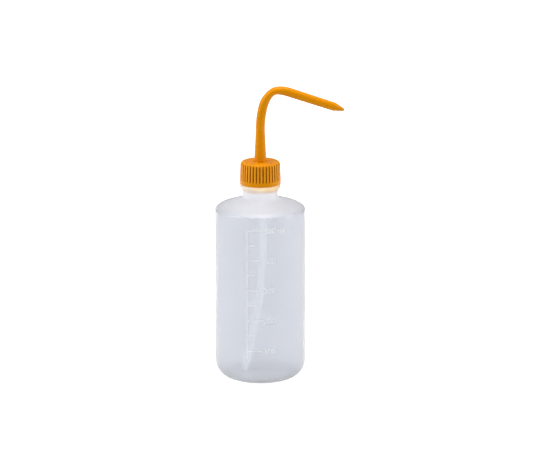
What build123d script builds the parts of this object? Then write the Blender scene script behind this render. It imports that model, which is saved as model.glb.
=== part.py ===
from build123d import *
from math import atan2, cos, pi, radians, sin, tan
import os

# Laboratory wash bottle, 500 mL, millimetres, +Z up.
# Origin: on the bottle's axis, in the plane of the ring it stands on.
# The spout's arm points along +X and the graduation faces -Y.

# ---------------------------------------------------------------- driving sizes
# bottle
BODY_R = 37.0  # outside radius of the barrel
WALL = 1.5  # blown wall
FLOOR = 1.8  # floor under the liquid
HEEL_R = 14.3  # large round between the barrel and the standing ring
PUNT_R = 18.5  # outer edge of the pushed-up middle of the floor
PUNT_H = 1.8  # height of the push-up
BARREL_TOP_Z = 140.6  # where the barrel starts to turn into the shoulder
EDGE_R = 3.6  # tight round at the shoulder's edge
EDGE_TURN = 50.0
BROW_R = 13.0  # softer round that follows it
BROW_TURN = 22.5
NECK_R = 14.4  # smooth neck under the bead
NECK_ROOT_R = 3.0
BEAD_R = 16.6  # transfer bead under the cap
BEAD_Z = 160.3  # bottom of the bead's rim
BEAD_H = 2.5
BEAD_SLOPE_H = 2.8  # height of the cone under the bead
FINISH_R = 12.5  # threaded neck, root of the thread
MOUTH_R = 10.8  # bore of the mouth
MOUTH_Z = 176.6  # sealing rim

# raised graduation on the front of the barrel
SCALE_RELIEF = 0.15
LONG_MARKS = [30.6, 56.6, 82.0, 107.2, 132.0]  # heights of the 100 mL marks
LONG_MARK_L = 12.6
SHORT_MARK_L = 6.6
MARK_W = 0.7
BAR_X = -11.3  # left edge of the vertical bar
BAR_FOOT_Z = 24.0

# screw thread between the neck and the cap
PITCH = 4.0
THREAD_BASE = 2.0  # width at the root
THREAD_CREST = 1.0  # width at the crest
THREAD_DEPTH = 1.2
THREAD_BITE = 0.4  # how far a ridge is rooted in its wall
NECK_THREAD_Z = 166.6  # middle of the neck's ridge where it starts
NECK_THREAD_TURNS = 1.7
FLANK_GAP = 0.2  # between the flanks that carry the load
CAP_THREAD_TURNS = 1.4

# cap
CAP_Z = 163.2
CAP_H = 18.5
CAP_R = 16.9  # at the bottom edge
CAP_TOP_R = 16.3
CAP_ROUND = 2.8
CAP_TOP_T = 2.0
CAP_BORE_R = 14.2
CAP_HOLE_R = 5.2
BAND_H = 3.6  # plain band under the ribs
RIBS = 38
GROOVE_START = 3.4  # direction of one groove's middle
GROOVE_W = 1.25
GROOVE_ROOT_W = 0.85
GROOVE_DEPTH = 0.8
BORE_CHAMFER = 0.4  # lead-in of the thread
RIM_CHAMFER = 0.25

# seal washer
WASHER_R = 12.6
WASHER_BORE_R = 10.85
WASHER_T = 1.2
WASHER_CHAMFER = 0.15

# spout
SEAT_GAP = 0.1  # between the stacked faces under the cap
FLANGE_R = 12.8
FLANGE_T = 1.6
PLUG_R = 10.6
PLUG_T = 1.2
PLUG_H = 4.5
SOCKET_R = 4.75
SOCKET_H = 10.0
STEM_R = 5.1
STEM_TOP_R = 3.8
STEM_TOP_Z = 206.4
BEND_Z = 208.92  # where the stem starts to bend
BEND_ARCS = [(73.0, 15.0), (22.7, 30.0), (9.15, 46.2), (28.2, 17.0)]  # radius, turn
ARM_END_R = 3.55
ARM_L = 39.0
TIP_L = 8.3
TIP_R = 1.05
BORE_R = 2.2
TIP_BORE_R = 0.65
TIP_LAND = 2.0  # straight end of the orifice
SQUEEZE = 0.17  # how much the tube is flattened at the tightest of the bend
SQUEEZE_START = 0.4  # share of the bend's length before the flattening
BEND_STEPS = 16

# dip tube
TUBE_R = 2.9
TUBE_BORE_R = 2.0
PRESS = 0.05  # interference in the spout's socket
TUBE_GRIP = 10.4  # length held in the socket
TUBE_FREE = 1.5  # straight length under the socket
FLEX_R = 60.0  # bend just under the socket
FLEX_TURN = 6.0
SET_R = 400.0  # curve the tube keeps from its coil
SET_TURN = 22.3
TUBE_CUT = radians(50)  # slant of the lower end

os.makedirs("parts", exist_ok=True)

CAP_TOP_Z = CAP_Z + CAP_H
CAP_SEAT_Z = CAP_TOP_Z - CAP_TOP_T
FLANGE_Z = CAP_SEAT_Z - SEAT_GAP - FLANGE_T
WASHER_Z = FLANGE_Z - SEAT_GAP - WASHER_T
THREAD_SLOPE = (THREAD_BASE - THREAD_CREST) / 2 / THREAD_DEPTH


def ridge(wall_r, mid_z, turns, outward):
    """A right-hand screw ridge rooted in a wall, on its outside (1) or its inside (-1)."""
    half_root = THREAD_BASE / 2 + THREAD_BITE * THREAD_SLOPE
    with BuildPart() as thread:
        with BuildLine():
            helix = Helix(PITCH, PITCH * turns, wall_r, center=(0, 0, mid_z))
        with BuildSketch(Plane(origin=helix @ 0, x_dir=(outward, 0, 0), z_dir=helix % 0)):
            Polygon(
                (-THREAD_BITE, -half_root),
                (THREAD_DEPTH, -THREAD_CREST / 2),
                (THREAD_DEPTH, THREAD_CREST / 2),
                (-THREAD_BITE, half_root),
                align=None,
            )
        sweep(path=helix, is_frenet=True)
    return thread.part


# ---------------------------------------------------------------- bottle
def mark(left, low, width, height):
    """A rectangle on the front, given by its lower left corner."""
    with Locations((left, low)):
        Rectangle(width, height, align=(Align.MIN, Align.MIN))


# Raised graduation: a bar, long marks each 100 mL and short ones between them.
short_marks = [(low + high) / 2 for low, high in zip(LONG_MARKS, LONG_MARKS[1:])]
with BuildPart() as graduation:
    with BuildSketch(Plane.XZ):
        mark(BAR_X, BAR_FOOT_Z, MARK_W, LONG_MARKS[-1] - BAR_FOOT_Z + MARK_W / 2)
        for z in LONG_MARKS:
            mark(BAR_X, z - MARK_W / 2, LONG_MARK_L, MARK_W)
        for z in short_marks:
            mark(BAR_X, z - MARK_W / 2, SHORT_MARK_L, MARK_W)
    extrude(amount=BODY_R + 1)
    with BuildSketch(Plane.XY):
        Circle(BODY_R + SCALE_RELIEF)
        Circle(BODY_R - WALL / 2, mode=Mode.SUBTRACT)
    extrude(amount=MOUTH_Z, mode=Mode.INTERSECT)


def bottle_outline(inset, floor_z, neck_r):
    """Half outline from the axis over the floor, barrel and shoulder to the neck."""
    punt = TangentArc((0, floor_z + PUNT_H), (PUNT_R, floor_z), tangent=(1, 0))
    ring = Line(punt @ 1, (BODY_R - HEEL_R, floor_z))
    heel = JernArc(ring @ 1, (1, 0), HEEL_R - inset, 90)
    barrel_top = (BODY_R - inset, BARREL_TOP_Z)
    Line(heel @ 1, barrel_top)
    edge = JernArc(barrel_top, (0, 1), EDGE_R - inset, EDGE_TURN)
    brow = JernArc(edge @ 1, edge % 1, BROW_R - inset, BROW_TURN)
    slope = (brow % 1).Y / (brow % 1).X
    root_z = (brow @ 1).Y + slope * (neck_r - (brow @ 1).X)
    Line(brow @ 1, (neck_r, root_z))
    return root_z


with BuildPart() as bottle:
    with BuildSketch(Plane.XZ) as outside:
        with BuildLine():
            root_z = bottle_outline(0, 0, NECK_R)
            Polyline(
                (NECK_R, root_z),
                (NECK_R, BEAD_Z - BEAD_SLOPE_H),
                (BEAD_R, BEAD_Z),
                (BEAD_R, BEAD_Z + BEAD_H),
                (FINISH_R, BEAD_Z + BEAD_H),
                (FINISH_R, MOUTH_Z),
                (0, MOUTH_Z),
                (0, PUNT_H),
            )
        make_face()
        fillet(outside.vertices().sort_by_distance((NECK_R, 0, root_z))[0], NECK_ROOT_R)
    revolve(axis=Axis.Z)
    with BuildSketch(Plane.XZ) as inside:
        with BuildLine():
            root_z = bottle_outline(WALL, FLOOR, NECK_R - WALL)
            Polyline(
                (NECK_R - WALL, root_z),
                (NECK_R - WALL, BEAD_Z - BEAD_SLOPE_H),
                (MOUTH_R, BEAD_Z),
                (MOUTH_R, MOUTH_Z + 1),
                (0, MOUTH_Z + 1),
                (0, FLOOR + PUNT_H),
            )
        make_face()
        inner_root = inside.vertices().sort_by_distance((NECK_R - WALL, 0, root_z))[0]
        fillet(inner_root, NECK_ROOT_R + WALL)
    revolve(axis=Axis.Z, mode=Mode.SUBTRACT)
    add(ridge(FINISH_R, NECK_THREAD_Z, NECK_THREAD_TURNS, 1))
    add(graduation.part)
bottle.part.label = "bottle"
export_step(bottle.part, "parts/bottle.step")

# ---------------------------------------------------------------- cap
# The grip grooves follow the cap's draft and run out in its rounded top edge.
draft = atan2(CAP_R - CAP_TOP_R, CAP_H - CAP_ROUND)
groove_mid_h = (BAND_H + CAP_H) / 2
groove_l = (CAP_H - BAND_H) / cos(draft)
cap_side = Plane(
    origin=(CAP_R - groove_mid_h * tan(draft), 0, CAP_Z + groove_mid_h),
    x_dir=(0, 1, 0),
    z_dir=(cos(draft), 0, sin(draft)),
)
with BuildPart() as groove:
    with BuildSketch(cap_side.offset(-GROOVE_DEPTH)):
        Rectangle(GROOVE_ROOT_W, groove_l)
    with BuildSketch(cap_side.offset(GROOVE_DEPTH)):
        Rectangle(2 * GROOVE_W - GROOVE_ROOT_W, groove_l)
    loft(ruled=True)

# The cap's ridge lies under the neck's, a small gap between the flanks that carry the load.
thread_drop = THREAD_BASE - THREAD_SLOPE * (CAP_BORE_R - FINISH_R) + FLANK_GAP

with BuildPart() as cap:
    with BuildSketch(Plane.XZ):
        with BuildLine():
            Polyline(
                (CAP_HOLE_R, CAP_SEAT_Z),
                (CAP_BORE_R, CAP_SEAT_Z),
                (CAP_BORE_R, CAP_Z),
                (CAP_R, CAP_Z),
                (CAP_TOP_R, CAP_TOP_Z - CAP_ROUND),
            )
            top_edge = RadiusArc(
                (CAP_TOP_R, CAP_TOP_Z - CAP_ROUND),
                (CAP_TOP_R - CAP_ROUND, CAP_TOP_Z),
                -CAP_ROUND,
            )
            Polyline(top_edge @ 1, (CAP_HOLE_R, CAP_TOP_Z), (CAP_HOLE_R, CAP_SEAT_Z))
        make_face()
    revolve(axis=Axis.Z)
    with PolarLocations(0, RIBS, start_angle=GROOVE_START):
        add(groove.part, mode=Mode.SUBTRACT)
    add(ridge(CAP_BORE_R, NECK_THREAD_Z - thread_drop, CAP_THREAD_TURNS, -1))
    lead_in = cap.edges().filter_by(GeomType.CIRCLE).group_by(Axis.Z)[0].sort_by(SortBy.RADIUS)
    chamfer(lead_in[0], BORE_CHAMFER)
    chamfer(lead_in[-1], RIM_CHAMFER)
cap.part.label = "cap"
export_step(cap.part, "parts/cap.step")

# ---------------------------------------------------------------- seal washer
with BuildPart() as seal_washer:
    with BuildSketch(Plane.XY.offset(WASHER_Z)):
        Circle(WASHER_R)
        Circle(WASHER_BORE_R, mode=Mode.SUBTRACT)
    extrude(amount=WASHER_T)
    chamfer(seal_washer.edges(), WASHER_CHAMFER)
seal_washer.part.label = "seal_washer"
export_step(seal_washer.part, "parts/seal_washer.step")

# ---------------------------------------------------------------- spout
TUBE_WALL = STEM_TOP_R - BORE_R
socket_z = FLANGE_Z - SOCKET_H
socket_end_z = socket_z + TUBE_GRIP

with BuildLine(Plane.XZ) as bend:
    start, heading = (0, BEND_Z), (0, 1)
    for radius, turn in BEND_ARCS:
        arc = JernArc(start, heading, radius, -turn)
        start, heading = arc @ 1, arc % 1
bend_path = bend.wire()


def bend_sections(inset):
    """Sections across the bend, wider than they are deep where the tube is flattened."""
    sections = []
    for step in range(BEND_STEPS + 1):
        at = step / BEND_STEPS
        squeeze = 0
        if at > SQUEEZE_START:
            squeeze = SQUEEZE * sin(pi * (at - SQUEEZE_START) / (1 - SQUEEZE_START)) ** 2
        across = Plane(origin=bend_path @ at, x_dir=(0, 1, 0), z_dir=bend_path % at)
        with BuildSketch(across) as section:
            Ellipse(
                STEM_TOP_R * (1 + squeeze / 2) - inset,
                STEM_TOP_R * (1 - squeeze) - inset,
            )
        sections.append(section.sketch)
    return sections


arm_axis = Axis(bend_path @ 1, bend_path % 1)
arm_plane = Plane(origin=arm_axis.position, x_dir=arm_axis.direction, z_dir=(0, -1, 0))
tip_x = ARM_L + TIP_L

with BuildPart() as spout:
    with BuildSketch(Plane.XZ):
        Polygon(
            (0, socket_z),
            (SOCKET_R, socket_z),
            (SOCKET_R, FLANGE_Z),
            (PLUG_R - PLUG_T, FLANGE_Z),
            (PLUG_R - PLUG_T, FLANGE_Z - PLUG_H),
            (PLUG_R, FLANGE_Z - PLUG_H),
            (PLUG_R, FLANGE_Z),
            (FLANGE_R, FLANGE_Z),
            (FLANGE_R, FLANGE_Z + FLANGE_T),
            (STEM_R, FLANGE_Z + FLANGE_T),
            (STEM_R, CAP_TOP_Z),
            (STEM_TOP_R, STEM_TOP_Z),
            (STEM_TOP_R, BEND_Z),
            (0, BEND_Z),
            align=None,
        )
    revolve(axis=Axis.Z)
    loft(bend_sections(0))
    with BuildSketch(arm_plane):
        Polygon(
            (0, 0),
            (0, STEM_TOP_R),
            (ARM_L, ARM_END_R),
            (tip_x, TIP_R),
            (tip_x, 0),
            align=None,
        )
    revolve(axis=arm_axis)
    with BuildSketch(Plane.XZ):
        Polygon(
            (0, socket_z),
            (TUBE_R - PRESS, socket_z),
            (TUBE_R - PRESS, socket_end_z),
            (BORE_R, socket_end_z),
            (BORE_R, BEND_Z),
            (0, BEND_Z),
            align=None,
        )
    revolve(axis=Axis.Z, mode=Mode.SUBTRACT)
    loft(bend_sections(TUBE_WALL), mode=Mode.SUBTRACT)
    with BuildSketch(arm_plane):
        Polygon(
            (0, 0),
            (0, BORE_R),
            (ARM_L, ARM_END_R - TUBE_WALL),
            (tip_x - TIP_LAND, TIP_BORE_R),
            (tip_x, TIP_BORE_R),
            (tip_x, 0),
            align=None,
        )
    revolve(axis=arm_axis, mode=Mode.SUBTRACT)
spout.part.label = "spout"
export_step(spout.part, "parts/spout.step")

# ---------------------------------------------------------------- dip tube
with BuildLine(Plane.XZ) as dip_path:
    held = Line((0, socket_end_z), (0, socket_z - TUBE_FREE))
    flex = JernArc(held @ 1, (0, -1), FLEX_R, FLEX_TURN)
    hang = JernArc(flex @ 1, flex % 1, SET_R, -SET_TURN)
foot = hang @ 1

with BuildPart() as dip_tube:
    with BuildSketch(Plane.XY.offset(socket_end_z)):
        Circle(TUBE_R)
        Circle(TUBE_BORE_R, mode=Mode.SUBTRACT)
    sweep(path=dip_path.wire())
    split(bisect_by=Plane(origin=foot, z_dir=(sin(TUBE_CUT), 0, cos(TUBE_CUT))), keep=Keep.TOP)
dip_tube.part.label = "dip_tube"
export_step(dip_tube.part, "parts/dip_tube.step")
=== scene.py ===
from math import atan2, cos, degrees, exp, pi, radians, sin, tan

import bmesh
import bpy
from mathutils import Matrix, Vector


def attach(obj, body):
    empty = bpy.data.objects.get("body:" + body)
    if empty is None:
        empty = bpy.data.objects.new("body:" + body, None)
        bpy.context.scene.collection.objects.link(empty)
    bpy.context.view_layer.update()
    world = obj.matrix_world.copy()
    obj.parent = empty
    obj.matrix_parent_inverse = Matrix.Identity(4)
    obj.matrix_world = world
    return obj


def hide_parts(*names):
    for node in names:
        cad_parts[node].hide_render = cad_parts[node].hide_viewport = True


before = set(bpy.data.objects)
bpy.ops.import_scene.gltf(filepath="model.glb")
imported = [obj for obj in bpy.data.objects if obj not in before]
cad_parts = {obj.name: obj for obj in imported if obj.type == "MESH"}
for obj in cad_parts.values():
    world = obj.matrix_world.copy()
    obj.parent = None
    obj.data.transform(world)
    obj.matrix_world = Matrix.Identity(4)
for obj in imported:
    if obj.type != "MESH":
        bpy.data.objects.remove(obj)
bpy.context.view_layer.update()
MM = 0.001

# ---------------------------------------------------------------- sizes, in millimetres
# bottle
BODY_R = 37.0
WALL = 1.5
FLOOR = 1.8
HEEL_R = 14.3
PUNT_R = 18.5
PUNT_H = 1.8
BARREL_TOP_Z = 140.6
EDGE_R = 3.6
EDGE_TURN = radians(50)
BROW_R = 13.0
BROW_TURN = radians(22.5)
NECK_R = 14.4
NECK_ROOT_R = 3.0
BEAD_R = 16.6
BEAD_Z = 160.3
BEAD_H = 2.5
BEAD_SLOPE_H = 2.8
FINISH_R = 12.5
MOUTH_R = 10.8
MOUTH_Z = 176.6
BARREL_ROWS = 16
SEAM_H = 0.1  # mould parting line on both sides
SEAM_W = 0.3
SEAM_FOOT_Z = 15.0
SEAM_RUN_OUT = 6.0
PINCH_H = 0.25  # pinch-off line across the pushed-up floor
PINCH_END_R = PUNT_R - 2.0
PINCH_RUN_OUT = 4.0

# raised graduation
RELIEF = 0.15
MARK_ROOT = 0.3  # how deep the marks are sunk in the wall
MARK_EDGE = 0.16  # width of a mark's soft edge
LONG_MARKS = [30.6, 56.6, 82.0, 107.2, 132.0]
LONG_MARK_L = 12.6
SHORT_MARK_L = 6.6
MARK_W = 0.7
BAR_X = -11.3
BAR_FOOT_Z = 24.0
DIGIT_H = 4.6
DIGIT_X = 3.0
FONT_CAPITAL = 0.72  # height of a digit of the built-in font, for a size of 1

# screw thread
PITCH = 4.0
THREAD_BASE = 2.0
THREAD_CREST = 1.0
THREAD_DEPTH = 1.2
THREAD_BITE = 0.4
THREAD_ROUND = 0.3
THREAD_SINK = 0.1  # how deep the ridge's ends go into the wall
NECK_THREAD_Z = 166.6
NECK_THREAD_TURNS = 1.7
CAP_THREAD_Z = 165.1
CAP_THREAD_TURNS = 1.4

# cap
CAP_Z = 163.2
CAP_TOP_Z = 181.7
CAP_R = 16.9
CAP_TOP_R = 16.3
CAP_ROUND = 2.8
CAP_SEAT_Z = 179.7
CAP_BORE_R = 14.2
CAP_HOLE_R = 5.2
BAND_TOP_Z = 166.8  # top of the plain band under the ribs
RIBS = 38
GROOVE_START = radians(3.4)
GROOVE_W = 1.25
GROOVE_ROOT_W = 0.85
GROOVE_DEPTH = 0.8
GROOVE_SOFT = 0.08  # softening of the groove's edges
RIB_PERIOD = 2 * pi / RIBS

# seal washer
WASHER_R = 12.6
WASHER_BORE_R = 10.85
WASHER_Z = 176.7
WASHER_TOP_Z = 177.9
WASHER_ROUND = 0.25

# spout
SOCKET_R = 4.75
SOCKET_Z = 168.0
FLANGE_Z = 178.0
FLANGE_TOP_Z = 179.6
FLANGE_R = 12.8
PLUG_R = 10.6
PLUG_BORE_R = 9.4
PLUG_Z = 173.5
STEM_R = 5.1
STEM_TOP_R = 3.8
STEM_TOP_Z = 206.4
BEND_Z = 208.92
BEND_ARCS = [(73.0, 15.0), (22.7, 30.0), (9.15, 46.2), (28.2, 17.0)]  # radius, turn in degrees
BEND_STEPS = 56
SQUEEZE = 0.17
SQUEEZE_START = 0.4
ARM_L = 39.0
ARM_END_R = 3.55
TIP_L = 8.3
TIP_R = 1.05
TIP_LAND = 2.0
BORE_R = 2.2
SPOUT_WALL = STEM_TOP_R - BORE_R
TIP_BORE_R = 0.65

# dip tube
TUBE_R = 2.9
TUBE_BORE_R = 2.0
TUBE_TOP_Z = 178.4
TUBE_GUIDED_Z = (TUBE_TOP_Z, 174.0, 170.0)  # straight stretch in and under the socket
TUBE_FLEX_Z = 166.5
TUBE_ARCS = [(60.0, -6.0), (400.0, 22.3)]  # radius, turn in degrees
TUBE_CUT = radians(50)
PRESS = 0.05  # how much tighter than the tube the spout's socket is

# where the bottle's material changes, in metres: between two heights, or for _R between two
# distances from the axis
FLOOR_GLOW_Z = (0.004, 0.016)
SHOULDER_GLOW_Z = (0.139, 0.147)
NECK_GLOW_Z = (0.149, 0.153)
MATT_Z = (0.1385, 0.149)
# heights where the painted warm light from the orange cap fades in
PAINTED_CAP_LIGHT_Z = (0.1575, 0.1625)
FLOOR_GLOW_R = (0.02, 0.03)

# colours, linear
BOTTLE_COLOURS = ((0.785, 0.803, 0.845), (0.8, 0.817, 0.857))
MARK_COLOURS = ((0.9, 0.92, 0.96), (0.92, 0.94, 0.97))
TUBE_COLOURS = ((0.97, 0.98, 0.99), (0.99, 0.99, 0.99))
SCATTERED = (0.95, 0.98, 1.0, 1)  # light scattered inside milky plastic
NECK_SCATTERED = (1.0, 0.93, 0.92)
CAP_SCATTERED = (0.9, 0.66, 0.36)  # the same next to the orange cap
# painted warm light from the orange cap, blended into the bottle's colour next to it
PAINTED_CAP_LIGHT = (1.0, 0.84, 0.55)
ORANGES = ((0.69, 0.235, 0.001), (0.72, 0.25, 0.001))
# painted highlight: lighter orange on the cap's ribbed ring
RIB_PAINTED_SHEEN = (0.8, 0.3, 0.012)
# painted shade: darker orange in the cap's grip grooves
GROOVE_PAINTED_SHADE = (0.36, 0.1, 0.0)
ORANGE_GLOSS = (1, 0.9, 0.12, 1)
FOAM_WHITES = ((0.72, 0.72, 0.7), (0.85, 0.85, 0.82))

# stage, in metres and watts
FLOOR_SIZE = 2.4
FLOOR_Z = -0.0002
FLOOR_COLOUR = (0.55, 0.55, 0.56, 1)
FLOOR_GLOW = 0.6  # for reflections and light through the bottle
FLOOR_SEEN_GLOW = 0.33  # added for the camera
FRONT_LIGHT = 0.5  # strength of the world in front of the object
BACK_LIGHT = 0.9
MIRROR_SHARE = 0.2  # how much of the world a reflection sees
SEEN_WHITE = 1.1
SOFTBOXES = [  # name, position, target, size, power
    ("top_softbox", (0, 0.1, 1.4), (0, 0, 0), (0.9, 0.9), 9),
    ("left_softbox", (-1.0, -0.2, 0.6), (0, 0, 0.15), (0.4, 0.9), 4.6),
    ("right_softbox", (1.0, -0.2, 0.5), (0, 0, 0.15), (0.4, 0.9), 3.6),
]
AIM = Vector((7.9, 0, 127.8)) * MM
ELEVATION = radians(14.4)
DISTANCE = 4.0
VIEW_WIDTH = 0.442
SENSOR_WIDTH = 36.0


# ---------------------------------------------------------------- mesh helpers
def arc(centre, radius, start, end, step=7.5):
    """Corners of an arc, from one angle in degrees to another, with no round of their own."""
    steps = max(2, round(abs(end - start) / step))
    turns = [radians(start + (end - start) * i / steps) for i in range(steps + 1)]
    return [(centre[0] + radius * cos(t), centre[1] + radius * sin(t), 0) for t in turns]


def rounded(corners, loop=False, step=radians(15)):
    """An outline through corners (r, z, round): an arc of that radius cuts each one off."""
    points = []
    last = len(corners) - 1
    for i, (x, z, radius) in enumerate(corners):
        here = Vector((x, z))
        if radius <= 0 or (not loop and i in (0, last)):
            points.append((x, z))
            continue
        back = Vector(corners[i - 1][:2]) - here
        on = Vector(corners[(i + 1) % len(corners)][:2]) - here
        half = back.angle(on) / 2
        cut = min(radius / tan(half), 0.49 * back.length, 0.49 * on.length)
        radius = cut * tan(half)
        centre = here + (back.normalized() + on.normalized()).normalized() * radius / sin(half)
        start = here + back.normalized() * cut - centre
        end = here + on.normalized() * cut - centre
        begin = atan2(start.y, start.x)
        swing = (atan2(end.y, end.x) - begin + pi) % (2 * pi) - pi
        steps = max(2, round(abs(swing) / step))
        for k in range(steps + 1):
            turn = begin + swing * k / steps
            points.append((centre.x + radius * cos(turn), centre.y + radius * sin(turn)))
    return points


def turned(outline, columns, shape=None):
    """Rows of points of an outline turned about Z. shape(r, z, angle) may change a point."""
    rows = []
    for r, z in outline:
        angles = columns if r > 1e-6 else [0.0]
        spots = [(r, z) if shape is None else shape(r, z, a) for a in angles]
        rows.append([(s[0] * cos(a), s[0] * sin(a), s[1]) for s, a in zip(spots, angles)])
    return rows


def even_columns(count):
    """Directions of evenly spaced columns around Z."""
    return [2 * pi * i / count for i in range(count)]


def skin(rows, loop=False):
    """Vertices and faces of a surface through rows of points. A row of one point is a pole."""
    vertices, faces, starts = [], [], []
    for row in rows:
        starts.append(len(vertices))
        vertices.extend(row)
    pairs = [(i, i + 1) for i in range(len(rows) - 1)]
    if loop:
        pairs.append((len(rows) - 1, 0))
    for a, b in pairs:
        count = max(len(rows[a]), len(rows[b]))
        for i in range(count):
            j = (i + 1) % count
            ring = [starts[a]]
            if len(rows[a]) > 1:
                ring = [starts[a] + i, starts[a] + j]
            if len(rows[b]) > 1:
                ring += [starts[b] + j, starts[b] + i]
            else:
                ring.append(starts[b])
            faces.append(ring)
    return vertices, faces


def make_mesh(name, vertices, faces):
    """A mesh in metres from vertices in millimetres, its faces all turned outward."""
    mesh = bpy.data.meshes.new(name)
    mesh.from_pydata([[c * MM for c in v] for v in vertices], [], faces)
    made = bmesh.new()
    made.from_mesh(mesh)
    bmesh.ops.recalc_face_normals(made, faces=made.faces)
    made.to_mesh(mesh)
    made.free()
    return mesh


def piece(name, mesh, node, body, material, crease=radians(40)):
    """A finished piece on its body.

    It stands for a CAD node, or with None it adds to another piece.
    """
    mesh.shade_smooth()
    mesh.set_sharp_from_angle(angle=crease)
    mesh.materials.clear()
    mesh.materials.append(material)
    made = bpy.data.objects.new(name, mesh)
    bpy.context.scene.collection.objects.link(made)
    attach(made, body)
    if node:
        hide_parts(node)
    return made


def joined(name, first, second):
    """The union of two closed meshes, as one mesh."""
    host = bpy.data.objects.new(name, first)
    guest = bpy.data.objects.new(name + "_guest", second)
    for made in (host, guest):
        bpy.context.scene.collection.objects.link(made)
    union = host.modifiers.new("union", "BOOLEAN")
    union.operation = "UNION"
    union.solver = "EXACT"
    union.object = guest
    seen = bpy.context.evaluated_depsgraph_get()
    mesh = bpy.data.meshes.new_from_object(host.evaluated_get(seen))
    for made in (host, guest):
        bpy.data.objects.remove(made)
    mesh.name = name
    return mesh


def thread_ridge(wall_r, mid_z, turns, outward):
    """A screw ridge on a wall's outside (1) or inside (-1), its ends tapering into the wall."""
    steps_a_turn = 72
    taper = radians(25)
    rows = []
    total = turns * 2 * pi
    steps = round(turns * steps_a_turn)
    slope = (THREAD_BASE - THREAD_CREST) / 2 / THREAD_DEPTH
    root = THREAD_BASE / 2 + THREAD_BITE * slope
    section = [
        (-THREAD_BITE, -root, 0),
        (THREAD_DEPTH, -THREAD_CREST / 2, THREAD_ROUND),
        (THREAD_DEPTH, THREAD_CREST / 2, THREAD_ROUND),
        (-THREAD_BITE, root, 0),
    ]
    outline = rounded(section, loop=True, step=radians(25))
    for i in range(steps + 1):
        turn = total * i / steps
        share = min(1.0, turn / taper, (total - turn) / taper)
        fullness = sin(share * pi / 2) ** 0.8
        row = []
        for depth, rise in outline:
            if depth > 0:
                depth = depth * fullness - THREAD_SINK * (1 - fullness)
            r = wall_r + outward * depth
            row.append((r * cos(turn), r * sin(turn), mid_z + PITCH * turn / (2 * pi) + rise))
        rows.append(row)
    vertices, faces = skin(rows)
    count = len(outline)
    faces += [list(range(count)), [len(vertices) - count + i for i in range(count)]]
    return make_mesh("ridge", vertices, faces)


# ---------------------------------------------------------------- materials
def principled(name, **values):
    """A material with its values set on the shader's own sockets."""
    material = bpy.data.materials.new(name)
    material.use_nodes = True
    tree = material.node_tree
    shader = tree.nodes["Principled BSDF"]
    for socket, value in values.items():
        shader.inputs[socket.replace("_", " ")].default_value = value
    return material, tree, shader


def place(tree):
    """A point in the piece's own coordinates, in metres."""
    return tree.nodes.new("ShaderNodeTexCoord").outputs["Object"]


def noise(tree, scale, detail=2.0, stretch=(1, 1, 1)):
    """Noise over the piece's own coordinates; scale is in waves per metre."""
    mapping = tree.nodes.new("ShaderNodeMapping")
    mapping.inputs["Scale"].default_value = stretch
    tree.links.new(place(tree), mapping.inputs["Vector"])
    texture = tree.nodes.new("ShaderNodeTexNoise")
    texture.inputs["Scale"].default_value = scale
    texture.inputs["Detail"].default_value = detail
    tree.links.new(mapping.outputs["Vector"], texture.inputs["Vector"])
    return texture.outputs["Fac"]


def parts_of(tree, vector):
    """The X, Y and Z of a vector."""
    split = tree.nodes.new("ShaderNodeSeparateXYZ")
    tree.links.new(vector, split.inputs["Vector"])
    return [split.outputs[axis] for axis in "XYZ"]


def spread(tree, source, low, high, start=0.3, end=0.7):
    """A value that runs from low to high as the source goes from start to end."""
    node = tree.nodes.new("ShaderNodeMapRange")
    node.interpolation_type = "SMOOTHSTEP"
    node.inputs["From Min"].default_value = start
    node.inputs["From Max"].default_value = end
    node.inputs["To Min"].default_value = low
    node.inputs["To Max"].default_value = high
    tree.links.new(source, node.inputs["Value"])
    return node.outputs["Result"]


def blend_colour(tree, share, first, last):
    """A colour that goes from first to last with share; either may be an output."""
    node = tree.nodes.new("ShaderNodeMix")
    node.data_type = "RGBA"
    tree.links.new(share, node.inputs["Factor"])
    for socket, colour in ((node.inputs[6], first), (node.inputs[7], last)):
        if isinstance(colour, tuple):
            socket.default_value = (*colour, 1)
        else:
            tree.links.new(colour, socket)
    return node.outputs[2]


def bump(tree, shader, source, distance, strength, under=None):
    """Adds relief of that distance, in metres, on top of the relief under it."""
    node = tree.nodes.new("ShaderNodeBump")
    node.inputs["Distance"].default_value = distance
    node.inputs["Strength"].default_value = strength
    tree.links.new(source, node.inputs["Height"])
    if under is not None:
        tree.links.new(under, node.inputs["Normal"])
    tree.links.new(node.outputs["Normal"], shader.inputs["Normal"])
    return node.outputs["Normal"]


def math_node(tree, operation, *values):
    """A Math node; its values may be outputs or numbers."""
    node = tree.nodes.new("ShaderNodeMath")
    node.operation = operation
    for socket, value in zip(node.inputs, values):
        if isinstance(value, bpy.types.NodeSocket):
            tree.links.new(value, socket)
        else:
            socket.default_value = value
    return node.outputs["Value"]


def polyethylene(name, transmission, colours, scatter=0.0):
    """Milky polyethylene: uneven wall and satin grain. Emission stands for scattered light.
    Without a value for it, scatter follows the shape of the bottle, as does the roughness."""
    material, tree, shader = principled(name, IOR=1.5, Transmission_Weight=transmission)
    colour = blend_colour(tree, spread(tree, noise(tree, 28), 0, 1), *colours)
    rough = spread(tree, noise(tree, 170), 0.16, 0.2)
    if scatter:
        shader.inputs["Emission Color"].default_value = SCATTERED
        shader.inputs["Emission Strength"].default_value = scatter
    else:
        colour = bottle_glow(tree, shader, colour)
        z = parts_of(tree, place(tree))[2]
        rough = math_node(tree, "ADD", rough, spread(tree, z, 0, 0.3, *MATT_Z))
    tree.links.new(colour, shader.inputs["Base Color"])
    tree.links.new(rough, shader.inputs["Roughness"])
    waves = bump(tree, shader, noise(tree, 55, 1.0, (1, 1, 0.4)), 0.0004, 0.12)
    bump(tree, shader, noise(tree, 2600), 0.00003, 0.3, waves)
    return material


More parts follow.
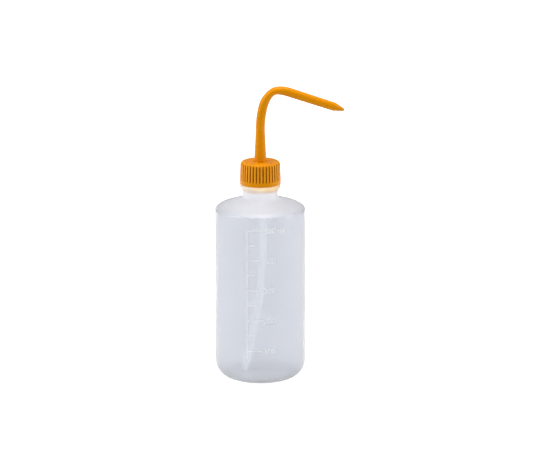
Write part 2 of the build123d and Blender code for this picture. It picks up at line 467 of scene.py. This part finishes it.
def bottle_glow(tree, shader, colour):
    """Painted glow, as emission, for light scattered in the bottle's shoulder, neck and floor. By
    the orange cap it is tinted, a little lower down on +X, and so is the colour, which is returned:
    painted warm light from the cap."""
    x, y, z = parts_of(tree, place(tree))
    tilted = math_node(tree, "MULTIPLY_ADD", x, 0.1, z)
    near_cap = spread(tree, tilted, 0, 1, *PAINTED_CAP_LIGHT_Z)
    shoulder = spread(tree, z, 0, 0.07, *SHOULDER_GLOW_Z)
    neck = spread(tree, z, 0, 0.035, *NECK_GLOW_Z)
    squares = math_node(tree, "MULTIPLY_ADD", x, x, math_node(tree, "MULTIPLY", y, y))
    from_axis = math_node(tree, "POWER", squares, 0.5)
    low = spread(tree, z, 0.1, 0, *FLOOR_GLOW_Z)
    floor_glow = math_node(tree, "MULTIPLY", low, spread(tree, from_axis, 1, 0, *FLOOR_GLOW_R))
    strength = math_node(tree, "ADD", math_node(tree, "ADD", shoulder, neck), floor_glow)
    glow = blend_colour(tree, near_cap, NECK_SCATTERED, CAP_SCATTERED)
    tree.links.new(glow, shader.inputs["Emission Color"])
    tree.links.new(strength, shader.inputs["Emission Strength"])
    # painted warm light: the bottle's colour turns warm next to the cap
    return blend_colour(tree, near_cap, colour, PAINTED_CAP_LIGHT)


def groove_masks(tree):
    """Two masks: the cap's grip grooves, which get painted shade, and the ribbed ring that they are
    cut into, which gets a painted lighter tone for highlights on the ribs.
    """
    x, y, z = parts_of(tree, place(tree))
    angle = math_node(tree, "SUBTRACT", math_node(tree, "ARCTAN2", y, x), GROOVE_START - 2 * pi)
    phase = math_node(tree, "FRACT", math_node(tree, "MULTIPLY", angle, 1 / RIB_PERIOD))
    off = math_node(tree, "PINGPONG", phase, 0.5)
    half = GROOVE_W / 2 / (RIB_PERIOD * CAP_TOP_R)
    across = spread(tree, off, 1, 0, half * 0.6, half * 1.05)
    low = spread(tree, z, 0, 1, (BAND_TOP_Z - 0.1) * MM, (BAND_TOP_Z + 0.3) * MM)
    high = spread(tree, z, 1, 0, (CAP_TOP_Z - 2.0) * MM, (CAP_TOP_Z - 1.0) * MM)
    ring = math_node(tree, "MULTIPLY", low, high)
    return math_node(tree, "MULTIPLY", across, ring), ring


def orange_plastic(name, rough_low, rough_high, grooved=False):
    """Injection-moulded orange plastic with slight flow shades and a fine grain. Grooved, it gets
    painted shade in the grip grooves and a painted highlight tone on the ribs.
    """
    values = {"IOR": 1.49, "Specular_IOR_Level": 0.4, "Specular_Tint": ORANGE_GLOSS}
    material, tree, shader = principled(name, **values)
    flow = spread(tree, noise(tree, 70, 3.0, (1, 1, 0.5)), 0, 1)
    colour = blend_colour(tree, flow, *ORANGES)
    if grooved:
        grooves, ring = groove_masks(tree)
        # painted highlight tone on the ribs
        colour = blend_colour(tree, ring, colour, RIB_PAINTED_SHEEN)
        # painted shade in the grooves
        colour = blend_colour(tree, grooves, colour, GROOVE_PAINTED_SHADE)
    tree.links.new(colour, shader.inputs["Base Color"])
    rough = spread(tree, noise(tree, 400), rough_low, rough_high)
    tree.links.new(rough, shader.inputs["Roughness"])
    bump(tree, shader, noise(tree, 3000), 0.00002, 0.3)
    return material


def foam(name):
    """White closed-cell foam."""
    material, tree, shader = principled(name, IOR=1.45)
    colour = blend_colour(tree, spread(tree, noise(tree, 900), 0, 1), *FOAM_WHITES)
    tree.links.new(colour, shader.inputs["Base Color"])
    rough = spread(tree, noise(tree, 900), 0.6, 0.8)
    tree.links.new(rough, shader.inputs["Roughness"])
    cells = tree.nodes.new("ShaderNodeTexVoronoi")
    cells.inputs["Scale"].default_value = 3500
    tree.links.new(place(tree), cells.inputs["Vector"])
    bump(tree, shader, cells.outputs["Distance"], 0.0001, 0.6)
    return material


bottle_stuff = polyethylene("milky_ldpe", 0.82, BOTTLE_COLOURS)
mark_stuff = polyethylene("milky_ldpe_marks", 0.05, MARK_COLOURS, scatter=0.025)
tube_stuff = polyethylene("milky_tube", 0.3, TUBE_COLOURS, scatter=0.235)
cap_stuff = orange_plastic("orange_cap_plastic", 0.26, 0.34, grooved=True)
spout_stuff = orange_plastic("orange_spout_plastic", 0.24, 0.32)
seal_stuff = foam("seal_foam")


# ---------------------------------------------------------------- bottle
def bottle_wall(inset, floor_z, neck_r, neck_root_r):
    """Corners (r, z, round) from the floor's middle up to the neck's foot."""
    punt_arc_r = (PUNT_R**2 + PUNT_H**2) / (2 * PUNT_H)
    punt_turn = 2 * degrees(atan2(PUNT_H, PUNT_R))
    punt_centre = (0, floor_z + PUNT_H - punt_arc_r)
    heel_centre = (BODY_R - HEEL_R, HEEL_R + floor_z - inset)
    edge_centre = (BODY_R - EDGE_R, BARREL_TOP_Z)
    brow_r = BROW_R - inset
    brow_centre = (
        edge_centre[0] - (BROW_R - EDGE_R) * cos(EDGE_TURN),
        edge_centre[1] - (BROW_R - EDGE_R) * sin(EDGE_TURN),
    )
    turned_by = EDGE_TURN + BROW_TURN
    top = (brow_centre[0] + brow_r * cos(turned_by), brow_centre[1] + brow_r * sin(turned_by))
    root_z = top[1] + (top[0] - neck_r) / tan(turned_by)
    corners = arc(punt_centre, punt_arc_r, 90, 90 - punt_turn, 1.2)
    corners += arc(heel_centre, HEEL_R - inset, -90, 0, 5)
    barrel_z = heel_centre[1]
    rise = (BARREL_TOP_Z - barrel_z) / BARREL_ROWS
    corners += [(BODY_R - inset, barrel_z + rise * i, 0) for i in range(1, BARREL_ROWS)]
    corners += arc(edge_centre, EDGE_R - inset, 0, degrees(EDGE_TURN), 5)
    corners += arc(brow_centre, brow_r, degrees(EDGE_TURN), degrees(turned_by), 3)[1:]
    corners.append((neck_r, root_z, neck_root_r))
    return corners


def seam_columns(count):
    """Even columns, with more of them beside the parting line on both sides."""
    extra = [side + radians(step) for side in (0, pi) for step in (-0.5, -0.25, 0.25, 0.5)]
    return sorted({a % (2 * pi) for a in even_columns(count) + extra})


def bottle_shape(r, z, angle):
    """The parting line up both sides, and the pinch-off line across the pushed-up floor."""
    off = abs(r * sin(angle))
    line = exp(-((off / SEAM_W) ** 2))
    if r > BODY_R - WALL / 2 - HEEL_R and r > FINISH_R + 0.5 and SEAM_FOOT_Z < z < BEAD_Z:
        fade = min(1.0, (z - SEAM_FOOT_Z) / SEAM_RUN_OUT)
        return r + SEAM_H * line * fade, z
    if z < PUNT_H and r < PINCH_END_R:
        fade = min(1.0, (PINCH_END_R - r) / PINCH_RUN_OUT)
        return r, z - PINCH_H * line * fade
    return r, z


outer = bottle_wall(0, 0, NECK_R, NECK_ROOT_R) + [
    (NECK_R, BEAD_Z - BEAD_SLOPE_H, 1.2),
    (BEAD_R, BEAD_Z, 0.6),
    (BEAD_R, BEAD_Z + BEAD_H, 0.5),
    (FINISH_R, BEAD_Z + BEAD_H, 0.4),
    (FINISH_R, MOUTH_Z, 0.3),
]
inner = bottle_wall(WALL, FLOOR, NECK_R - WALL, NECK_ROOT_R + WALL) + [
    (NECK_R - WALL, BEAD_Z - BEAD_SLOPE_H, 1.0),
    (MOUTH_R, BEAD_Z, 1.0),
    (MOUTH_R, MOUTH_Z, 0.3),
]
bottle_outline = rounded(outer + inner[::-1])
bottle_rows = turned(bottle_outline, seam_columns(180), bottle_shape)
bottle_mesh = make_mesh("bottle", *skin(bottle_rows))
neck_thread = thread_ridge(FINISH_R, NECK_THREAD_Z, NECK_THREAD_TURNS, 1)
bottle_mesh = joined("bottle", bottle_mesh, neck_thread)
piece("bottle_blown", bottle_mesh, "bottle", "bottle", bottle_stuff)


def on_barrel(x, z, out):
    """A point x along the front of the barrel at height z, standing out from its surface."""
    r = BODY_R + out
    return (r * sin(x / BODY_R), -r * cos(x / BODY_R), z)


def raised_strip(left, low, width, tall):
    """Vertices and faces of a low curved bar on the front of the barrel, its edges rounded."""
    edge = [
        (0, -MARK_ROOT),
        (0, RELIEF * 0.4),
        (MARK_EDGE * 0.4, RELIEF * 0.85),
        (MARK_EDGE, RELIEF),
    ]
    steps_x = max(1, round(width / 1.0))
    steps_z = max(1, round(tall / 5.0))
    rows = []
    for inset, out in edge:
        xs = [left + inset + (width - 2 * inset) * i / steps_x for i in range(steps_x + 1)]
        zs = [low + inset + (tall - 2 * inset) * i / steps_z for i in range(steps_z + 1)]
        ring = [(x, zs[0]) for x in xs] + [(xs[-1], z) for z in zs[1:]]
        ring += [(x, zs[-1]) for x in xs[-2::-1]] + [(xs[0], z) for z in zs[-2:0:-1]]
        rows.append([on_barrel(x, z, out) for x, z in ring])
    vertices, faces = skin(rows)
    faces.append(list(range(len(ring)))[::-1])
    # The top is a grid inside the last ring, whose corners are shared with it.
    number_of = {spot: len(vertices) - len(ring) + i for i, spot in enumerate(ring)}
    for z in zs[1:-1]:
        for x in xs[1:-1]:
            number_of[x, z] = len(vertices)
            vertices.append(on_barrel(x, z, RELIEF))
    for low_z, high_z in zip(zs, zs[1:]):
        for x, next_x in zip(xs, xs[1:]):
            corners = ((x, low_z), (next_x, low_z), (next_x, high_z), (x, high_z))
            faces.append([number_of[corner] for corner in corners])
    return vertices, faces


def add_shell(store, vertices, faces):
    """Adds a shell to a store of (vertices, faces)."""
    start = len(store[0])
    store[0].extend(vertices)
    store[1].extend([[start + i for i in face] for face in faces])


def raised_text(words, left, middle_z):
    """Vertices and faces of digits in relief on the barrel, from the plain built-in font."""
    curve = bpy.data.curves.new("digits", "FONT")
    curve.body = words
    curve.size = DIGIT_H / FONT_CAPITAL
    curve.extrude = (RELIEF + MARK_ROOT) / 2
    curve.resolution_u = 6
    curve.offset = -0.02
    sign = bpy.data.objects.new("digits", curve)
    bpy.context.scene.collection.objects.link(sign)
    seen = bpy.context.evaluated_depsgraph_get()
    mesh = bpy.data.meshes.new_from_object(sign.evaluated_get(seen))
    made = bmesh.new()
    made.from_mesh(mesh)
    bmesh.ops.remove_doubles(made, verts=made.verts, dist=1e-4)
    bmesh.ops.triangulate(made, faces=made.faces)
    # Wide faces are cut up, so that the digits follow the round barrel.
    for _ in range(3):
        long_edges = [e for e in made.edges if abs(e.verts[0].co.x - e.verts[1].co.x) > 0.8]
        if long_edges:
            bmesh.ops.subdivide_edges(made, edges=long_edges, cuts=1)
            bmesh.ops.triangulate(made, faces=made.faces)
    made.verts.index_update()
    middle_out = (RELIEF - MARK_ROOT) / 2
    foot_z = middle_z - DIGIT_H / 2
    spots = [v.co for v in made.verts]
    vertices = [on_barrel(left + c.x, foot_z + c.y, middle_out + c.z) for c in spots]
    faces = [[v.index for v in f.verts] for f in made.faces]
    made.free()
    bpy.data.objects.remove(sign)
    return vertices, faces


def graduation():
    """Vertices and faces of the whole scale: a bar, five long marks, four short ones and digits."""
    shells = ([], [])
    bar_h = LONG_MARKS[-1] - BAR_FOOT_Z + MARK_W / 2
    add_shell(shells, *raised_strip(BAR_X, BAR_FOOT_Z, MARK_W, bar_h))
    middles = [(low_z + high_z) / 2 for low_z, high_z in zip(LONG_MARKS, LONG_MARKS[1:])]
    for heights, length in ((LONG_MARKS, LONG_MARK_L), (middles, SHORT_MARK_L)):
        for z in heights:
            strip = raised_strip(BAR_X + MARK_W, z - MARK_W / 2, length - MARK_W, MARK_W)
            add_shell(shells, *strip)
    for number, z in enumerate(LONG_MARKS, 1):
        words = f"{number}00" + (" ml" if number == len(LONG_MARKS) else "")
        add_shell(shells, *raised_text(words, DIGIT_X, z))
    return shells


mark_mesh = make_mesh("graduation", *graduation())
piece("bottle_graduation", mark_mesh, None, "bottle", mark_stuff)


# ---------------------------------------------------------------- cap
def cap_columns():
    """Columns that follow each groove's sides and bottom."""
    one_side = (0.2, 0.38, 0.48, 0.58, 0.68, 0.82, 1.05)
    steps = [-step for step in one_side[::-1]] + [0, *one_side]
    columns = []
    for rib in range(RIBS):
        middle = GROOVE_START + rib * RIB_PERIOD
        columns += [middle + step / CAP_TOP_R for step in steps]
        columns.append(middle + RIB_PERIOD / 2)
    return columns


def soft_step(value, low, high):
    """0 below low and 1 above high, smooth in between."""
    share = min(1.0, max(0.0, (value - low) / (high - low)))
    return share * share * (3 - 2 * share)


def cap_side_r(z):
    """Radius of the cap's drafted side at a height."""
    return CAP_R - (CAP_R - CAP_TOP_R) * (z - CAP_Z) / (CAP_TOP_Z - CAP_ROUND - CAP_Z)


def cap_shape(r, z, angle):
    """Cuts the grip grooves into the cap's side. They run out in its rounded top edge."""
    if r < CAP_TOP_R - CAP_ROUND or z < BAND_TOP_Z - 0.5:
        return r, z
    off = abs((angle - GROOVE_START + RIB_PERIOD / 2) % RIB_PERIOD - RIB_PERIOD / 2) * CAP_TOP_R
    across = 1 - soft_step(off, GROOVE_ROOT_W / 2 - GROOVE_SOFT, GROOVE_W / 2 + GROOVE_SOFT)
    along = soft_step(z, BAND_TOP_Z - 0.15, BAND_TOP_Z + 0.25)
    depth = max(0.0, r - (cap_side_r(z) - GROOVE_DEPTH))
    return r - depth * across * along, z


side_steps = (-0.6, -0.15, -0.05, 0.05, 0.15, 0.25, 2.5, 5, 7.5, 10)
side_heights = [BAND_TOP_Z + step for step in side_steps]
cap_corners = [
    (CAP_HOLE_R, CAP_SEAT_Z, 0.15),
    (CAP_BORE_R, CAP_SEAT_Z, 0.6),
    (CAP_BORE_R, CAP_Z, 0.5),
    (CAP_R, CAP_Z, 0.35),
    *[(cap_side_r(z), z, 0) for z in side_heights],
    *arc((CAP_TOP_R - CAP_ROUND, CAP_TOP_Z - CAP_ROUND), CAP_ROUND, 0, 90, 6),
    (CAP_HOLE_R, CAP_TOP_Z, 0.2),
]
cap_rows = turned(rounded(cap_corners, loop=True), cap_columns(), cap_shape)
cap_mesh = make_mesh("cap", *skin(cap_rows, loop=True))
cap_thread = thread_ridge(CAP_BORE_R, CAP_THREAD_Z, CAP_THREAD_TURNS, -1)
cap_mesh = joined("cap", cap_mesh, cap_thread)
piece("screw_cap", cap_mesh, "cap", "cap", cap_stuff)

# ---------------------------------------------------------------- seal washer
washer_corners = [
    (WASHER_BORE_R, WASHER_Z, WASHER_ROUND),
    (WASHER_R, WASHER_Z, WASHER_ROUND),
    (WASHER_R, WASHER_TOP_Z, WASHER_ROUND),
    (WASHER_BORE_R, WASHER_TOP_Z, WASHER_ROUND),
]
washer_rows = turned(rounded(washer_corners, loop=True), even_columns(120))
washer_mesh = make_mesh("seal_washer", *skin(washer_rows, loop=True))
piece("sealing_ring", washer_mesh, "seal_washer", "seal", seal_stuff)


# ---------------------------------------------------------------- spout and dip tube
def along_arcs(start, heading, arcs, steps):
    """Evenly spaced (point, heading, share) in the XZ plane along arcs of (radius, turn)."""
    total = sum(radius * radians(abs(turn)) for radius, turn in arcs)
    stops = []
    for i in range(steps + 1):
        left = total * i / steps
        spot, way = Vector(start), heading
        for radius, turn in arcs:
            length = min(left, radius * radians(abs(turn)))
            left -= length
            sign = 1 if turn > 0 else -1
            swing = sign * length / radius
            # A positive turn bends the heading clockwise, from +Z towards +X.
            side_way = Vector((sin(way + sign * pi / 2), cos(way + sign * pi / 2)))
            centre = spot + side_way * radius
            arm = spot - centre
            c, s = cos(-swing), sin(-swing)
            spot = centre + Vector((arm.x * c - arm.y * s, arm.x * s + arm.y * c))
            way += swing
            if left <= 1e-9:
                break
        stops.append((spot, way, i / steps))
    return stops


def cross_ring(spot, way, in_plane, out_of_plane, count=64, slide=None):
    """A ring of points across a line in the XZ plane; slide(u) moves a point along the line."""
    ring = []
    ahead = Vector((sin(way), cos(way)))
    side_way = Vector((cos(way), -sin(way)))
    for i in range(count):
        angle = 2 * pi * i / count
        u, v = in_plane * cos(angle), out_of_plane * sin(angle)
        point = spot + side_way * u
        if slide is not None:
            point += ahead * slide(u)
        ring.append((point.x, v, point.y))
    return ring


def spout_rows():
    """Rows of the whole spout: up its outside to the tip, and back down its bore."""
    stem = rounded([
        (TUBE_R - PRESS, TUBE_TOP_Z, 0),
        (TUBE_R - PRESS, SOCKET_Z, 0.3),
        (SOCKET_R, SOCKET_Z, 0.3),
        (SOCKET_R, FLANGE_Z, 0.4),
        (PLUG_BORE_R, FLANGE_Z, 0.4),
        (PLUG_BORE_R, PLUG_Z, 0.3),
        (PLUG_R, PLUG_Z, 0.4),
        (PLUG_R, FLANGE_Z, 0.1),
        (FLANGE_R, FLANGE_Z, 0.25),
        (FLANGE_R, FLANGE_TOP_Z, 0.25),
        (STEM_R, FLANGE_TOP_Z, 0.05),
        (STEM_R, CAP_TOP_Z, 1.5),
        *[
            (STEM_R + (STEM_TOP_R - STEM_R) * up, CAP_TOP_Z + (STEM_TOP_Z - CAP_TOP_Z) * up, 0)
            for up in (0.25, 0.5, 0.75)
        ],
        (STEM_TOP_R, STEM_TOP_Z, 6),
        (STEM_TOP_R, BEND_Z, 0),
    ])
    rows = [cross_ring(Vector((0, z)), 0, r, r) for r, z in stem[:-1]]
    bend = along_arcs((0, BEND_Z), 0, BEND_ARCS, BEND_STEPS)
    bore_rows = []
    for spot, way, share in bend:
        part = max(0.0, (share - SQUEEZE_START) / (1 - SQUEEZE_START))
        squeeze = SQUEEZE * sin(pi * part) ** 2
        flat, wide = STEM_TOP_R * (1 - squeeze), STEM_TOP_R * (1 + squeeze / 2)
        rows.append(cross_ring(spot, way, flat, wide))
        bore_rows.append(cross_ring(spot, way, flat - SPOUT_WALL, wide - SPOUT_WALL))
    spot, way, _ = bend[-1]
    ahead = Vector((sin(way), cos(way)))
    tip = ARM_L + TIP_L
    end_bore_r = ARM_END_R - SPOUT_WALL
    arm = rounded([
        (STEM_TOP_R, 0, 0),
        *[(STEM_TOP_R + (ARM_END_R - STEM_TOP_R) * i / 8, ARM_L * i / 8, 0) for i in range(1, 8)],
        (ARM_END_R, ARM_L, 3.5),
        (TIP_R, tip, 0.25),
        (TIP_BORE_R, tip, 0.15),
        (TIP_BORE_R, tip - TIP_LAND, 0.5),
        (end_bore_r, ARM_L, 1.0),
        *[(BORE_R + (end_bore_r - BORE_R) * i / 4, ARM_L * i / 4, 0) for i in (3, 2, 1)],
    ], step=radians(6))
    rows += [cross_ring(spot + ahead * z, way, r, r) for r, z in arm[1:]]
    rows += bore_rows[::-1]
    rows.append(cross_ring(Vector((0, TUBE_TOP_Z)), 0, BORE_R, BORE_R))
    return rows


spout_mesh = make_mesh("spout", *skin(spout_rows(), loop=True))
piece("swivel_spout", spout_mesh, "spout", "spout", spout_stuff)


def tube_rows():
    """Rows of the dip tube: down its outside to the slanting cut, and up its bore."""
    line = [(Vector((0, z)), pi, 0) for z in TUBE_GUIDED_Z]
    line += along_arcs((0, TUBE_FLEX_Z), pi, TUBE_ARCS, 48)
    # The slanting cut takes away the last step but one.
    line.pop(-2)
    foot, foot_way, _ = line.pop()
    ahead = Vector((sin(foot_way), cos(foot_way)))
    across = Vector((cos(foot_way), -sin(foot_way)))
    normal = Vector((sin(TUBE_CUT), cos(TUBE_CUT)))

    def slide_to_cut(u):
        """How far a point of the last ring lies along the tube to be on the slanting cut."""
        return -u * across.dot(normal) / ahead.dot(normal)

    rows = []
    for radius, order in ((TUBE_R, 1), (TUBE_BORE_R, -1)):
        rings = [cross_ring(spot, way, radius, radius, 40) for spot, way, _ in line]
        rings.append(cross_ring(foot, foot_way, radius, radius, 40, slide_to_cut))
        rows += rings[::order]
    return rows


tube_mesh = make_mesh("dip_tube", *skin(tube_rows(), loop=True))
piece("dip_tube_soft", tube_mesh, "dip_tube", "spout", tube_stuff)


# ---------------------------------------------------------------- stage, light and camera
def ray_is(tree, kind):
    """1 for rays of that kind, such as Camera or Diffuse, and 0 for others."""
    return tree.nodes.new("ShaderNodeLightPath").outputs[f"Is {kind} Ray"]


def studio_floor():
    """A pale floor that also glows, except as a light on matt surfaces."""
    half = FLOOR_SIZE / 2
    spots = ((-half, -half), (half, -half), (half, half), (-half, half))
    corners = [(x, y, FLOOR_Z) for x, y in spots]
    mesh = bpy.data.meshes.new("studio_floor")
    mesh.from_pydata(corners, [], [(0, 1, 2, 3)])
    floor = bpy.data.objects.new("studio_floor", mesh)
    bpy.context.scene.collection.objects.link(floor)
    material, tree, shader = principled("studio_white", Roughness=0.9, Specular_IOR_Level=0.0)
    shader.inputs["Base Color"].default_value = FLOOR_COLOUR
    shader.inputs["Emission Color"].default_value = (1, 1, 1, 1)
    glow = spread(tree, ray_is(tree, "Diffuse"), FLOOR_GLOW, 0, 0, 1)
    glow = math_node(tree, "MULTIPLY_ADD", ray_is(tree, "Camera"), FLOOR_SEEN_GLOW, glow)
    tree.links.new(glow, shader.inputs["Emission Strength"])
    mesh.materials.append(material)


def soft_light(name, position, target, size, power):
    """A rectangular area light that faces its target."""
    lamp = bpy.data.lights.new(name, "AREA")
    lamp.shape = "RECTANGLE"
    lamp.size, lamp.size_y = size
    lamp.energy = power
    made = bpy.data.objects.new(name, lamp)
    made.location = position
    made.rotation_euler = (Vector(target) - Vector(position)).to_track_quat("-Z", "Y").to_euler()
    bpy.context.scene.collection.objects.link(made)


def studio_world():
    """White to the camera. As a light it is bright at the back and dim in front, and
    reflections see only a share of it."""
    world = bpy.data.worlds.new("studio")
    world.use_nodes = True
    tree = world.node_tree
    background = tree.nodes["Background"]
    background.inputs["Color"].default_value = (1, 1, 1, 1)
    way = tree.nodes.new("ShaderNodeTexCoord").outputs["Generated"]
    light = spread(tree, parts_of(tree, way)[1], FRONT_LIGHT, BACK_LIGHT, -0.95, -0.2)
    mirrored = math_node(tree, "SUBTRACT", ray_is(tree, "Glossy"), ray_is(tree, "Transmission"))
    light = math_node(tree, "MULTIPLY", light, spread(tree, mirrored, 1, MIRROR_SHARE, 0, 1))
    seen = tree.nodes.new("ShaderNodeMix")
    tree.links.new(ray_is(tree, "Camera"), seen.inputs["Factor"])
    tree.links.new(light, seen.inputs[2])
    seen.inputs[3].default_value = SEEN_WHITE
    tree.links.new(seen.outputs[0], background.inputs["Strength"])
    bpy.context.scene.world = world


def studio_camera():
    """The camera, at the photograph's angle."""
    data = bpy.data.cameras.new("camera")
    data.sensor_width = SENSOR_WIDTH
    data.lens = SENSOR_WIDTH * DISTANCE / VIEW_WIDTH
    camera = bpy.data.objects.new("camera", data)
    back = Vector((0, -cos(ELEVATION), sin(ELEVATION)))
    camera.location = AIM + back * DISTANCE
    camera.rotation_euler = (-back).to_track_quat("-Z", "Y").to_euler()
    bpy.context.scene.collection.objects.link(camera)
    bpy.context.scene.camera = camera


studio_floor()
for softbox in SOFTBOXES:
    soft_light(*softbox)
studio_world()
studio_camera()
bpy.context.scene.view_settings.view_transform = "Standard"
